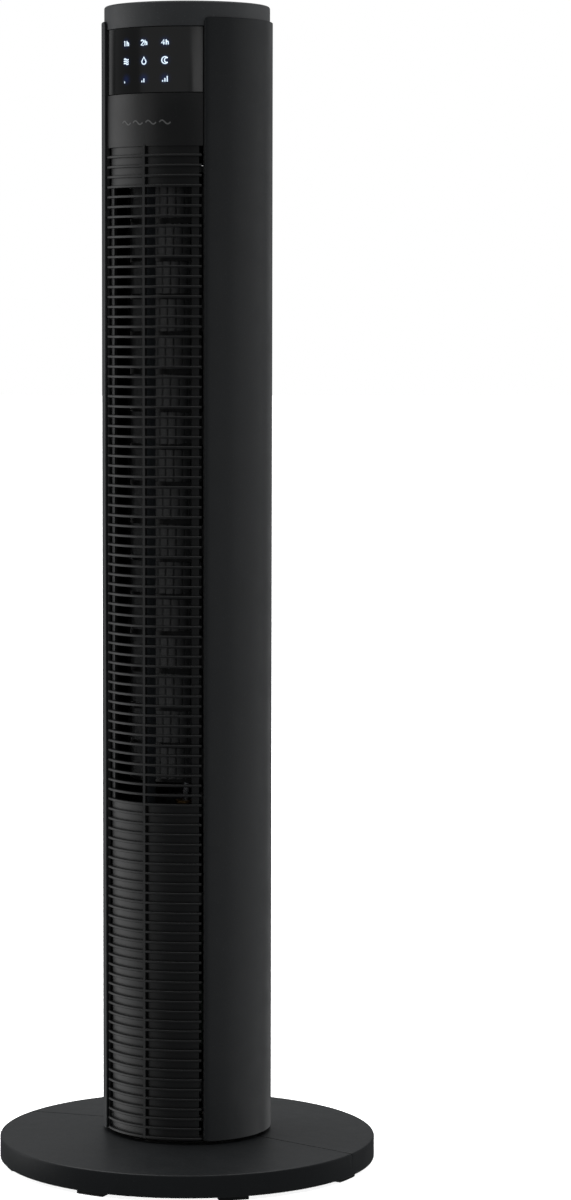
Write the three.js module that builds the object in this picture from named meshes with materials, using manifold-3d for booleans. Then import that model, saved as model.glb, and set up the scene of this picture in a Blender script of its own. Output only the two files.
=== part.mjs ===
// Tower fan: a slim oscillating column on a round two-piece foot.
// Millimetres, +Z up, origin on the floor under the middle of the foot, front towards -Y.
// Plan angles are in degrees from the front, positive towards +X.

import * as THREE from 'three';
import { mergeVertices } from 'three/addons/utils/BufferGeometryUtils.js';
import Module from 'manifold-3d';

const wasm = await Module();
wasm.setup();

// ---------------------------------------------------------------- driving dimensions

const GAP = 0.3; // left between pieces that touch

const HEIGHT = 960;
const BASE_RADIUS = 157.2;
const BASE_TOP = 22.1; // at the rim
const DOME_RADIUS = 72; // the foot's top rises evenly from the rim to here
const DOME_TOP = 26.4;
const FOOT_HEIGHT = 3.5;
const FOOT_COUNT = 8;

const COLUMN_BOTTOM = 29.3;
const BODY_RADIUS = 68.2;
const WALL = 2.4;
const PANEL_RADIUS = 70.5;
const PANEL_TOP = 947;
const PANEL_FRONT_EDGE = 42.5;
const PANEL_REAR_EDGE = 128;
const PANEL_CORNER = 4;

const GRILLE_RADIUS = 69.1;
const GRILLE_EDGE = 40.5;
const BAR_COUNT = 100;
const BAR_PITCH = 8.132;
const BAR_HEIGHT = 2.2;
const FIN_WIDTH = 2.2;
const TOP_BAR = 836.4;

const PLATE_RADIUS = 66; // the plate behind the bars
const PLATE_EDGE = 42.2;
const OPENING_LOW = 307.8;
const OPENING_HIGH = 812;
const OPENING_EDGE = 34;
const BROW_LOW = 843.8;
const WINDOW_LOW = 886.8;
const CAP_LOW = 939.8;

const WHEEL_RADIUS = 47;
const WHEEL_LOW = 323.9;
const WHEEL_HIGH = 815;
const WHEEL_SECTIONS = 8;
const WHEEL_BLADES = 10;

const HUB_TOP = DOME_TOP;
const HUB_TUBE_RADIUS = 12;
const GEAR_MODULE = 1.25;
const FIXED_TEETH = 32;
const PINION_TEETH = 12;
const GEAR_LOW = 36.3;
const GEAR_HIGH = 41.3;

const BUTTON_RADIUS = 7.5;
const BUTTON_SPREAD = 24; // sideways and lengthways step from the middle button to the others
const TOP_RIM = 1.2; // the cap's rim stands this far above its control panel

// ---------------------------------------------------------------- worked out from them

const INNER_RADIUS = BODY_RADIUS - WALL;
const PLATE_INNER_RADIUS = PLATE_RADIUS - WALL;
const DISC_RADIUS = PLATE_INNER_RADIUS - 1.4; // round plates that lie inside the casing
const PANEL_INNER_RADIUS = BODY_RADIUS + GAP;
const BASE_PLATE = 3.6;
const BASE_PLATE_LOW = DOME_TOP - BASE_PLATE;
const NECK_RADIUS = 54;
const FLANGE_HIGH = BASE_PLATE_LOW - GAP;
const FLANGE_LOW = FLANGE_HIGH - 3.6;
const CENTRE_DISTANCE = (GEAR_MODULE * (FIXED_TEETH + PINION_TEETH)) / 2;
const MOTOR_PLATE_LOW = 298;
const MOTOR_PLATE_HIGH = 302;
const BEARING_PLATE_LOW = 823;
const BEARING_PLATE_HIGH = 827;
const PANEL_SURFACE = HEIGHT - TOP_RIM;

// ---------------------------------------------------------------- materials

const plastic = (color, roughness) => new THREE.MeshStandardMaterial({ color, roughness, metalness: 0 });
const metal = (color, roughness) => new THREE.MeshStandardMaterial({ color, roughness, metalness: 1 });

const MATERIALS = {
  satinBlack: plastic(0x1b1c1d, 0.48),
  panelBlack: plastic(0x1d1e20, 0.42),
  glossBlack: plastic(0x08090a, 0.08),
  ductBlack: plastic(0x0d0d0e, 0.6),
  wheelBlack: plastic(0x151516, 0.35),
  buttonBlack: plastic(0x17181a, 0.4),
  rubber: plastic(0x0c0c0c, 0.85),
  slidePlastic: plastic(0xd8d4c8, 0.4),
  circuitBoard: plastic(0x1f4a2c, 0.45),
  copper: metal(0xb0683a, 0.35),
  steel: metal(0xa9abae, 0.35),
  zinc: metal(0x8d9093, 0.45),
  bronze: metal(0x8a6a3c, 0.45),
};

// ---------------------------------------------------------------- solids and booleans

const radians = THREE.MathUtils.degToRad;

/** A point of the plan at a radius and an angle from the front. */
function polar(radius, angle) {
  return new THREE.Vector2(radius * Math.sin(radians(angle)), -radius * Math.cos(radians(angle)));
}

/** Joins the geometry's shared vertices and drops the triangles that this leaves without area. */
function weld(geometry) {
  const bare = geometry.clone();
  bare.deleteAttribute('normal');
  bare.deleteAttribute('uv');
  const merged = mergeVertices(bare);
  const index = merged.index.array;
  const kept = [];
  for (let i = 0; i < index.length; i += 3) {
    const [a, b, c] = [index[i], index[i + 1], index[i + 2]];
    if (a !== b && b !== c && c !== a) kept.push(a, b, c);
  }
  merged.setIndex(kept);
  return merged;
}

function toSolid(geometry) {
  const welded = weld(geometry);
  return new wasm.Manifold(new wasm.Mesh({
    numProp: 3,
    vertProperties: new Float32Array(welded.attributes.position.array),
    triVerts: new Uint32Array(welded.index.array),
  }));
}

function toGeometry(solid) {
  const mesh = solid.getMesh();
  const geometry = new THREE.BufferGeometry();
  geometry.setAttribute('position', new THREE.BufferAttribute(mesh.vertProperties, 3));
  geometry.setIndex(new THREE.BufferAttribute(mesh.triVerts, 1));
  geometry.computeVertexNormals();
  return geometry;
}

/** One body made of the first geometry and all the others. */
function join(...geometries) {
  const [first, ...rest] = geometries.map(toSolid);
  return toGeometry(rest.reduce((whole, piece) => whole.add(piece), first));
}

/** The first geometry with all the others taken out of it. */
function cut(...geometries) {
  const [first, ...rest] = geometries.map(toSolid);
  return toGeometry(rest.reduce((whole, piece) => whole.subtract(piece), first));
}

/** What the two geometries have in common. */
function common(a, b) {
  return toGeometry(toSolid(a).intersect(toSolid(b)));
}

// ---------------------------------------------------------------- shapes

/** A solid of revolution about Z from an outline of [radius, height] pairs. */
function turned(outline, steps) {
  const points = outline.map(([radius, height]) => new THREE.Vector2(radius, height));
  if (THREE.ShapeUtils.area(points) < 0) points.reverse();
  points.push(points[0].clone());
  return new THREE.LatheGeometry(points, steps).rotateX(Math.PI / 2);
}

function ring(inner, outer, low, high, steps) {
  return turned([[inner, low], [outer, low], [outer, high], [inner, high]], steps);
}

/** An upright cylinder whose axis stands at (x, y). */
function post(radius, low, high, x, y, steps = 12) {
  return new THREE.CylinderGeometry(radius, radius, high - low, steps)
    .rotateX(Math.PI / 2)
    .translate(x, y, (low + high) / 2);
}

/** A box from its lowest to its highest corner. */
function block([x0, y0, z0], [x1, y1, z1]) {
  return new THREE.BoxGeometry(x1 - x0, y1 - y0, z1 - z0)
    .translate((x0 + x1) / 2, (y0 + y1) / 2, (z0 + z1) / 2);
}

/** An outline in plan, pulled up from low to high. */
function upright(points, low, high) {
  return new THREE.ExtrudeGeometry(new THREE.Shape(points), { depth: high - low, bevelEnabled: false })
    .translate(0, 0, low);
}

function evenAngles(from, to, steps) {
  return Array.from({ length: steps + 1 }, (_, i) => from + ((to - from) * i) / steps);
}

/** A wall that follows a circle, with an edge at each of the given angles. */
function arcWall(inner, outer, angles, low, high) {
  const outside = angles.map((angle) => polar(outer, angle));
  const inside = angles.map((angle) => polar(inner, angle)).reverse();
  return upright([...outside, ...inside], low, high);
}

/** A wall like arcWall whose four corners are rounded. */
function roundedWall(inner, outer, from, to, low, high, corner, steps) {
  const length = radians(to - from) * outer;
  const columns = [];
  for (const turn of [0, 30, 60, 90]) {
    columns.push([corner * (1 - Math.cos(radians(turn))), corner * (1 - Math.sin(radians(turn)))]);
  }
  for (let i = 1; i < steps; i += 1) columns.push([corner + ((length - 2 * corner) * i) / steps, 0]);
  for (const [along, inset] of columns.slice(0, 4).reverse()) columns.push([length - along, inset]);
  const last = columns.length - 1;
  const geometry = new THREE.BoxGeometry(1, 1, 1, last, 1, 1);
  const position = geometry.attributes.position;
  for (let i = 0; i < position.count; i += 1) {
    const [along, inset] = columns[Math.round((position.getX(i) + 0.5) * last)];
    const radius = position.getZ(i) > 0 ? outer : inner;
    const height = position.getY(i) > 0 ? high - inset : low + inset;
    const spot = polar(radius, from + THREE.MathUtils.radToDeg(along / outer));
    position.setXYZ(i, spot.x, spot.y, height);
  }
  return geometry;
}

/** A spur gear with straight-sided teeth, one tooth pointing at the given plan angle. */
function gear(teeth, low, high, toothAngle) {
  const pitchRadius = (GEAR_MODULE * teeth) / 2;
  const tip = pitchRadius + 0.85 * GEAR_MODULE;
  const root = pitchRadius - 1.15 * GEAR_MODULE;
  const step = 360 / teeth;
  const points = [];
  for (let i = 0; i < teeth; i += 1) {
    const middle = toothAngle + i * step;
    points.push(polar(root, middle - 0.33 * step));
    points.push(polar(tip, middle - 0.1 * step));
    points.push(polar(tip, middle + 0.1 * step));
    points.push(polar(root, middle + 0.33 * step));
  }
  return upright(points, low, high);
}

/** A round bar that points out from the axis of the column at a plan angle. */
function radialBar(radius, inner, outer, angle, height) {
  const middle = polar((inner + outer) / 2, angle);
  return new THREE.CylinderGeometry(radius, radius, outer - inner, 12)
    .rotateZ(radians(angle))
    .translate(middle.x, middle.y, height);
}

// ---------------------------------------------------------------- scene graph

const fan = new THREE.Group();

function add(name, geometry, material) {
  const mesh = new THREE.Mesh(geometry, material);
  mesh.name = name;
  fan.add(mesh);
  return mesh;
}

// ---------------------------------------------------------------- the foot

const BASE_SCREW_ANGLES = [-40, 40, 140, -140];
const BASE_SCREW_RADIUS = 60;
const BASE_RIM_INNER = 143;
const GLAND = { halfWidth: 6, inner: 144, outer: 156, high: 13, bore: 3.6, boreHeight: 8.4 };

/** Cylinders at the four places where the foot's screws go. */
function baseScrewHoles(radius, low, high) {
  return BASE_SCREW_ANGLES.map((angle) => {
    const spot = polar(BASE_SCREW_RADIUS, angle);
    return post(radius, low, high, spot.x, spot.y);
  });
}

/** The whole round foot: a slightly raised top plate with a deep rim that is open underneath. */
function baseDisc() {
  const edge = 1.4;
  const rounded = [0, 30, 60, 90].map((turn) => [
    BASE_RADIUS - edge * (1 - Math.cos(radians(turn))),
    BASE_TOP - edge * (1 - Math.sin(radians(turn))),
  ]);
  const outline = [
    [BASE_RADIUS - 0.8, FOOT_HEIGHT],
    [BASE_RADIUS, FOOT_HEIGHT + 0.8],
    ...rounded,
    [DOME_RADIUS, DOME_TOP],
    [NECK_RADIUS + GAP, DOME_TOP],
    [NECK_RADIUS + GAP, BASE_PLATE_LOW],
    [DOME_RADIUS, BASE_PLATE_LOW],
    [BASE_RIM_INNER, BASE_TOP - BASE_PLATE],
    [BASE_RIM_INNER, FOOT_HEIGHT],
  ];
  return cut(turned(outline, 48), ...baseScrewHoles(1.9, BASE_PLATE_LOW - 1, DOME_TOP - 0.9));
}

/** Everything on one side of the seam across the foot's middle: side is -1 for the front, 1 for the rear. */
function seamSide(side) {
  const reach = BASE_RADIUS + 10;
  const near = GAP / 2;
  return side < 0
    ? block([-reach, -reach, 0], [reach, -near, 2 * DOME_TOP])
    : block([-reach, near, 0], [reach, reach, 2 * DOME_TOP]);
}

function glandChannel() {
  const half = GLAND.halfWidth + GAP;
  return block([-half, BASE_RIM_INNER - 5, 0], [half, BASE_RADIUS + 5, GLAND.high + GAP]);
}

function cableGland() {
  const body = block(
    [-GLAND.halfWidth, GLAND.inner, FOOT_HEIGHT + GAP],
    [GLAND.halfWidth, GLAND.outer, GLAND.high],
  );
  const bore = new THREE.CylinderGeometry(GLAND.bore, GLAND.bore, 40, 12)
    .translate(0, (GLAND.inner + GLAND.outer) / 2, GLAND.boreHeight);
  return cut(body, bore);
}

function rubberFoot(angle) {
  return arcWall(144.5, 154, evenAngles(angle - 4.6, angle + 4.6, 2), 0, FOOT_HEIGHT - GAP);
}

/** The fixed middle of the foot: screw flange, neck and the hollow tube that the column turns on. */
function baseHub() {
  const outline = [
    [8, 6],
    [14, 6],
    [14, FLANGE_LOW],
    [66, FLANGE_LOW],
    [66, FLANGE_HIGH],
    [NECK_RADIUS, FLANGE_HIGH],
    [NECK_RADIUS, HUB_TOP],
    [HUB_TUBE_RADIUS, HUB_TOP],
    [HUB_TUBE_RADIUS, 45],
    [8, 45],
  ];
  return cut(turned(outline, 24), ...baseScrewHoles(1.9, FLANGE_LOW - 1, FLANGE_HIGH + 1));
}

/** A screw with a round head, standing head down at (x, y). */
function baseScrew(angle) {
  const spot = polar(BASE_SCREW_RADIUS, angle);
  return turned([
    [0, FLANGE_LOW - GAP - 2.2],
    [3.4, FLANGE_LOW - GAP - 2.2],
    [3.4, FLANGE_LOW - GAP],
    [1.5, FLANGE_LOW - GAP],
    [1.5, DOME_TOP - 1.4],
    [0, DOME_TOP - 1.4],
  ], 10).translate(spot.x, spot.y, 0);
}

function fixedGear() {
  return cut(gear(FIXED_TEETH, GEAR_LOW, GEAR_HIGH, 180), post(HUB_TUBE_RADIUS + GAP, 30, 50, 0, 0, 24));
}

function addFoot() {
  const { satinBlack, rubber, slidePlastic, ductBlack, zinc } = MATERIALS;
  const disc = baseDisc();
  add('base_front', common(disc, seamSide(-1)), satinBlack);
  add('base_rear', cut(common(disc, seamSide(1)), glandChannel()), satinBlack);
  for (let i = 0; i < FOOT_COUNT; i += 1) {
    add(`rubber_foot_${i + 1}`, rubberFoot((i * 360) / FOOT_COUNT), rubber);
  }
  add('cable_gland', cableGland(), rubber);
  add('base_hub', baseHub(), ductBlack);
  BASE_SCREW_ANGLES.forEach((angle, i) => add(`base_screw_${i + 1}`, baseScrew(angle), zinc));
  add('thrust_ring', ring(36, 46, HUB_TOP + GAP, COLUMN_BOTTOM - GAP, 24), slidePlastic);
  add('fixed_gear', fixedGear(), slidePlastic);
  add('hub_clip', ring(HUB_TUBE_RADIUS + GAP, 17, GEAR_HIGH + GAP, GEAR_HIGH + 2, 24), zinc);
}

// ---------------------------------------------------------------- the swing drive

const SWING_PLATE_HIGH = COLUMN_BOTTOM + 4;
const BUSH_RADIUS = 15;
const SWING_BRACKET = { low: 44.3, high: 45.7, halfWidth: 24, near: 16, far: 41, leg: 2 };

function pivotBush() {
  return turned([
    [HUB_TUBE_RADIUS + GAP, COLUMN_BOTTOM],
    [BUSH_RADIUS, COLUMN_BOTTOM],
    [BUSH_RADIUS, SWING_PLATE_HIGH + GAP],
    [18, SWING_PLATE_HIGH + GAP],
    [18, GEAR_LOW - GAP],
    [HUB_TUBE_RADIUS + GAP, GEAR_LOW - GAP],
  ], 24);
}

function swingBracket() {
  const { low, high, halfWidth, near, far, leg } = SWING_BRACKET;
  const legLow = SWING_PLATE_HIGH + GAP;
  return cut(
    join(
      block([-halfWidth, near, low], [halfWidth, far, high]),
      block([-halfWidth, near, legLow], [leg - halfWidth, far, high]),
      block([halfWidth - leg, near, legLow], [halfWidth, far, high]),
    ),
    post(3.5, low - 1, high + 1, 0, CENTRE_DISTANCE),
  );
}

/** The pinion with its shaft, in mesh with the fixed gear's rearmost tooth. */
function swingPinion() {
  const shaft = post(2.5, SWING_PLATE_HIGH + GAP, SWING_BRACKET.high + 6, 0, 0, 10);
  const toothAngle = 180 / PINION_TEETH; // half a tooth's step, so a gap faces the fixed gear
  return join(gear(PINION_TEETH, GEAR_LOW, GEAR_HIGH, toothAngle), shaft).translate(0, CENTRE_DISTANCE, 0);
}

function swingMotor() {
  const low = SWING_BRACKET.high + GAP;
  return turned([
    [2.8, low],
    [14, low],
    [14, low + 17],
    [12, low + 19],
    [0, low + 19],
    [0, SWING_BRACKET.high + 6 + GAP],
    [2.8, SWING_BRACKET.high + 6 + GAP],
  ], 16).translate(0, CENTRE_DISTANCE, 0);
}

function addSwingDrive() {
  const { ductBlack, slidePlastic, zinc } = MATERIALS;
  const plateLow = COLUMN_BOTTOM;
  add('swing_plate', ring(BUSH_RADIUS + GAP, DISC_RADIUS, plateLow, SWING_PLATE_HIGH, 24), ductBlack);
  add('pivot_bush', pivotBush(), slidePlastic);
  add('swing_motor_bracket', swingBracket(), zinc);
  add('swing_motor', swingMotor(), zinc);
  add('swing_pinion', swingPinion(), slidePlastic);
}

// ---------------------------------------------------------------- casings, grille and panels

const CASING_LOW = COLUMN_BOTTOM + GAP;
const CASING_HIGH = CAP_LOW - GAP;
const CASING_JOINT = 90; // plan angle where the front and rear casings meet
const JOINT_GAP = 0.25; // degrees
const CASING_SCREWS = [[-150, 300], [150, 300], [-150, 825], [150, 825]];
const REAR_STEPS = 30;
const INTAKE_TIERS = 3;
const INTAKE_TIE = 9;
const HANDLE = { halfWidth: 38, low: 842, high: 880, depth: 34, wall: 2 };
const REAR_JOINT = 833.5; // height where the rear casing ends and the handle cover begins

/** A bridge inside the front casing, behind its front panel, from one side wall to the other. */
function brace(low, high) {
  const edge = PLATE_EDGE + 4;
  const bridge = arcWall(DISC_RADIUS - 2, DISC_RADIUS, evenAngles(-edge, edge, 6), low, high);
  const ears = [-1, 1].map((side) => arcWall(
    DISC_RADIUS - 2,
    INNER_RADIUS + 0.4,
    [side * (PLATE_EDGE + 1), side * edge],
    low,
    high,
  ));
  return [bridge, ...ears];
}

/** The front casing: the two side walls, the lintel over the window and two braces low down. */
function frontCasing() {
  const sides = [-1, 1].map((side) => arcWall(
    INNER_RADIUS,
    BODY_RADIUS,
    evenAngles(side * PLATE_EDGE, side * (CASING_JOINT - JOINT_GAP), 8),
    CASING_LOW,
    CASING_HIGH,
  ));
  const lintelEdge = PLATE_EDGE + 1;
  const lintelAngles = evenAngles(-lintelEdge, lintelEdge, 14);
  const lintel = arcWall(PLATE_INNER_RADIUS, INNER_RADIUS + 0.2, lintelAngles, 935, CASING_HIGH);
  return join(lintel, ...brace(70, 80), ...brace(225, 235), ...sides);
}

/** The front panel: brow, plate with the air outlet, upright fin, and the bars on the plate. */
function frontGrille() {
  const barAngles = evenAngles(-GRILLE_EDGE, GRILLE_EDGE, 4);
  const browAngles = evenAngles(GAP - PLATE_EDGE, PLATE_EDGE - GAP, 14);
  const lowestBar = TOP_BAR - (BAR_COUNT - 1) * BAR_PITCH - BAR_HEIGHT / 2;
  const plate = arcWall(PLATE_INNER_RADIUS, PLATE_RADIUS, barAngles, lowestBar + 0.3, BROW_LOW + 1);
  const outletAngles = evenAngles(-OPENING_EDGE, OPENING_EDGE, 2);
  const outlet = arcWall(50, 80, outletAngles, OPENING_LOW, OPENING_HIGH);
  const ledge = arcWall(PLATE_INNER_RADIUS, BODY_RADIUS, browAngles, BROW_LOW, BROW_LOW + 3);
  const brow = arcWall(INNER_RADIUS, BODY_RADIUS, browAngles, BROW_LOW + 1, WINDOW_LOW - GAP);
  const fin = block(
    [-FIN_WIDTH / 2, -(PLATE_RADIUS - 0.8), OPENING_LOW - 3],
    [FIN_WIDTH / 2, -(WHEEL_RADIUS + 5), OPENING_HIGH + 3],
  );
  const bars = Array.from({ length: BAR_COUNT }, (_, i) => {
    const low = TOP_BAR - i * BAR_PITCH - BAR_HEIGHT / 2;
    return arcWall(PLATE_RADIUS - 0.4, GRILLE_RADIUS, barAngles, low, low + BAR_HEIGHT);
  });
  return join(cut(plate, outlet), ledge, brow, fin, ...bars);
}

/** The rear casing with its intake slots and four screw holes. */
function rearCasing() {
  const from = CASING_JOINT + JOINT_GAP;
  const step = (360 - 2 * from) / REAR_STEPS;
  const angles = evenAngles(from, 360 - from, REAR_STEPS);
  const wall = arcWall(INNER_RADIUS, BODY_RADIUS, angles, CASING_LOW, REAR_JOINT - GAP);
  const slotHeight = (WHEEL_HIGH - WHEEL_LOW - (INTAKE_TIERS - 1) * INTAKE_TIE) / INTAKE_TIERS;
  const slots = [];
  for (let column = 7; column < REAR_STEPS - 7; column += 1) {
    const angle = from + (column + 0.5) * step;
    for (let tier = 0; tier < INTAKE_TIERS; tier += 1) {
      const middle = WHEEL_LOW + slotHeight / 2 + tier * (slotHeight + INTAKE_TIE);
      const spot = polar(BODY_RADIUS - WALL / 2, angle);
      slots.push(new THREE.BoxGeometry(3.4, 10, slotHeight)
        .rotateZ(radians(angle))
        .translate(spot.x, spot.y, middle));
    }
  }
  const holes = CASING_SCREWS.map(([angle, height]) => radialBar(1.8, 60, 75, angle, height));
  return cut(wall, ...slots, ...holes);
}

/** The cover above the rear casing, with the finger scoop that the fan is carried by. */
function handleCover() {
  const { halfWidth, low, high, depth, wall } = HANDLE;
  const from = CASING_JOINT + JOINT_GAP;
  const angles = evenAngles(from, 360 - from, REAR_STEPS);
  const scoop = common(
    block([-halfWidth - wall, depth - wall, low - wall], [halfWidth + wall, 80, high + wall]),
    post(INNER_RADIUS + 0.6, low - wall - 1, high + wall + 1, 0, 0, 48),
  );
  const mouth = block([-halfWidth, depth, low], [halfWidth, 90, high]);
  return cut(join(arcWall(INNER_RADIUS, BODY_RADIUS, angles, REAR_JOINT, CASING_HIGH), scoop), mouth);
}

function casingScrew([angle, height]) {
  return join(
    radialBar(1.4, 56, BODY_RADIUS + 0.6, angle, height),
    radialBar(3, BODY_RADIUS + GAP, BODY_RADIUS + 1.8, angle, height),
  );
}

function sidePanel(side) {
  const [from, to] = side > 0
    ? [PANEL_FRONT_EDGE, PANEL_REAR_EDGE]
    : [-PANEL_REAR_EDGE, -PANEL_FRONT_EDGE];
  return roundedWall(PANEL_INNER_RADIUS, PANEL_RADIUS, from, to, COLUMN_BOTTOM, PANEL_TOP, PANEL_CORNER, 14);
}

function addCasings() {
  const { satinBlack, panelBlack, zinc } = MATERIALS;
  add('front_casing', frontCasing(), satinBlack);
  add('front_grille', frontGrille(), satinBlack);
  add('rear_casing', rearCasing(), satinBlack);
  add('handle_cover', handleCover(), satinBlack);
  add('side_panel_left', sidePanel(-1), panelBlack);
  add('side_panel_right', sidePanel(1), panelBlack);
  CASING_SCREWS.forEach((screw, i) => add(`casing_screw_${i + 1}`, casingScrew(screw), zinc));
}

// ---------------------------------------------------------------- the top: cap, buttons, display

const CAP_PLATE = 2.4;
const BUTTON_BOARD_HIGH = 951;
const SWITCH_HEIGHT = 2.5;
const BUTTONS = {
  power_button: [0, 0],
  speed_button: [-BUTTON_SPREAD, -BUTTON_SPREAD],
  mode_button: [BUTTON_SPREAD, -BUTTON_SPREAD],
  timer_button: [-BUTTON_SPREAD, BUTTON_SPREAD],
  swing_button: [BUTTON_SPREAD, BUTTON_SPREAD],
};

function topCap() {
  const edge = 3;
  const rounded = [0, 30, 60, 90].map((turn) => [
    BODY_RADIUS - edge * (1 - Math.cos(radians(turn))),
    HEIGHT - edge * (1 - Math.sin(radians(turn))),
  ]);
  const outline = [
    [BODY_RADIUS, CAP_LOW],
    ...rounded,
    [61, HEIGHT],
    [60, PANEL_SURFACE],
    [0, PANEL_SURFACE],
    [0, PANEL_SURFACE - CAP_PLATE],
    [INNER_RADIUS, PANEL_SURFACE - CAP_PLATE],
    [INNER_RADIUS, CAP_LOW],
  ];
  const holes = Object.values(BUTTONS).map(([x, y]) => post(BUTTON_RADIUS + 2 * GAP, 940, 970, x, y, 12));
  return cut(turned(outline, 32), ...holes);
}

/** A push button: a shallow key with a flange under the cap that keeps it in. */
function button([x, y]) {
  const underPlate = PANEL_SURFACE - CAP_PLATE - GAP;
  const top = PANEL_SURFACE + 0.8;
  return turned([
    [0, underPlate - 1.2],
    [BUTTON_RADIUS + 1.5, underPlate - 1.2],
    [BUTTON_RADIUS + 1.5, underPlate],
    [BUTTON_RADIUS, underPlate],
    [BUTTON_RADIUS, top],
    [0, top],
  ], 12).translate(x, y, 0);
}

/** The board under the buttons, with a click switch below each one. */
function buttonBoard() {
  const half = 3;
  const switches = Object.values(BUTTONS).map(([x, y]) => block(
    [x - half, y - half, BUTTON_BOARD_HIGH - 0.5],
    [x + half, y + half, BUTTON_BOARD_HIGH + SWITCH_HEIGHT],
  ));
  return join(post(46, BUTTON_BOARD_HIGH - 1.6, BUTTON_BOARD_HIGH, 0, 0, 24), ...switches);
}

function displayWindow() {
  const edge = PLATE_EDGE - 0.2;
  return arcWall(BODY_RADIUS - 2, BODY_RADIUS, evenAngles(-edge, edge, 14), WINDOW_LOW, CAP_LOW - GAP);
}

/** The opaque block that keeps the light of the nine indicators apart. */
function lightBox() {
  const cells = [];
  for (const x of [-18.2, 0, 18.2]) {
    for (const z of [897.5, 912.5, 927]) cells.push(block([x - 4, -70, z - 4], [x + 4, -40, z + 4]));
  }
  return cut(block([-27, -58.5, 891], [27, -51.5, 934]), ...cells);
}

function addTop() {
  const { satinBlack, glossBlack, buttonBlack, circuitBoard, ductBlack } = MATERIALS;
  add('top_cap', topCap(), satinBlack);
  for (const [name, place] of Object.entries(BUTTONS)) add(name, button(place), buttonBlack);
  add('button_board', buttonBoard(), circuitBoard);
  add('display_window', displayWindow(), glossBlack);
  add('display_light_box', lightBox(), ductBlack);
  add('display_board', block([-38, -51.2, 889], [38, -49.6, 934.5]), circuitBoard);
}

// ---------------------------------------------------------------- the air path and its wheel

/** A duct wall whose radius changes evenly from one plan angle to another. */
function spiralWall(from, to, startRadius, endRadius, steps) {
  const thickness = 1.5;
  const outside = [];
  const inside = [];
  for (let i = 0; i <= steps; i += 1) {
    const angle = from + ((to - from) * i) / steps;
    const radius = startRadius + ((endRadius - startRadius) * i) / steps;
    outside.push(polar(radius, angle));
    inside.unshift(polar(radius - thickness, angle));
  }
  return upright([...outside, ...inside], MOTOR_PLATE_HIGH + GAP, BEARING_PLATE_LOW - GAP);
}

/** The cross-flow wheel: blades through a stack of ring discs, closed by a hub disc at each end. */
function impeller() {
  const disc = 1.6;
  const pitch = (WHEEL_HIGH - WHEEL_LOW - disc) / WHEEL_SECTIONS;
  const pieces = [
    ring(4.3, WHEEL_RADIUS, WHEEL_LOW, WHEEL_LOW + disc, 20),
    ring(3.3, WHEEL_RADIUS, WHEEL_HIGH - disc, WHEEL_HIGH, 20),
    ring(4.3, 8, WHEEL_LOW, WHEEL_LOW + 14, 12),
    ring(3.3, 8, WHEEL_HIGH - 14, WHEEL_HIGH, 12),
  ];
  for (let i = 1; i < WHEEL_SECTIONS; i += 1) {
    pieces.push(ring(37, WHEEL_RADIUS, WHEEL_LOW + i * pitch, WHEEL_LOW + i * pitch + disc, 20));
  }
  for (let i = 0; i < WHEEL_BLADES; i += 1) {
    const angle = ((i + 0.5) * 360) / WHEEL_BLADES;
    const spot = polar(42, angle);
    pieces.push(new THREE.BoxGeometry(1.4, 8.6, WHEEL_HIGH - WHEEL_LOW - disc)
      .rotateZ(radians(angle - 28))
      .translate(spot.x, spot.y, (WHEEL_LOW + WHEEL_HIGH) / 2));
  }
  return join(...pieces);
}

function addAirPath() {
  const { ductBlack, wheelBlack, steel, bronze, rubber, satinBlack } = MATERIALS;
  add('scroll_wall', spiralWall(43, 126, 63, 51, 10), ductBlack);
  add('tongue_wall', spiralWall(-43, -64, 63, 51, 4), ductBlack);
  add('impeller', impeller(), wheelBlack);
  add('impeller_pin', post(3, WHEEL_HIGH - 12, BEARING_PLATE_HIGH + 4, 0, 0), steel);
  const holes = CASING_SCREWS.slice(2).map(([angle, height]) => radialBar(1.7, 50, 75, angle, height));
  const plate = ring(14.3, DISC_RADIUS, BEARING_PLATE_LOW, BEARING_PLATE_HIGH, 24);
  add('upper_bearing_holder', cut(plate, ...holes), satinBlack);
  add('bearing_bush', ring(8.3, 14, BEARING_PLATE_LOW - 2, BEARING_PLATE_HIGH + 2, 20), rubber);
  add('upper_bearing', ring(3.3, 8, BEARING_PLATE_LOW - 1, BEARING_PLATE_HIGH + 1, 16), bronze);
}

// ---------------------------------------------------------------- the motor and electronics

const MOTOR = { low: 247, coreLow: 262, coreHigh: 286, shaft: 4, rotor: 21 };

function motorCan() {
  return turned([
    [10.3, MOTOR.low],
    [40, MOTOR.low],
    [40, MOTOR_PLATE_LOW - GAP],
    [38.5, MOTOR_PLATE_LOW - GAP],
    [38.5, MOTOR.low + 1.5],
    [10.3, MOTOR.low + 1.5],
  ], 24);
}

function motorRotor() {
  return turned([
    [0, MOTOR.low - 3],
    [MOTOR.shaft, MOTOR.low - 3],
    [MOTOR.shaft, MOTOR.coreLow],
    [MOTOR.rotor, MOTOR.coreLow],
    [MOTOR.rotor, MOTOR.coreHigh],
    [MOTOR.shaft, MOTOR.coreHigh],
    [MOTOR.shaft, WHEEL_LOW + 12],
    [0, WHEEL_LOW + 12],
  ], 16);
}

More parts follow.
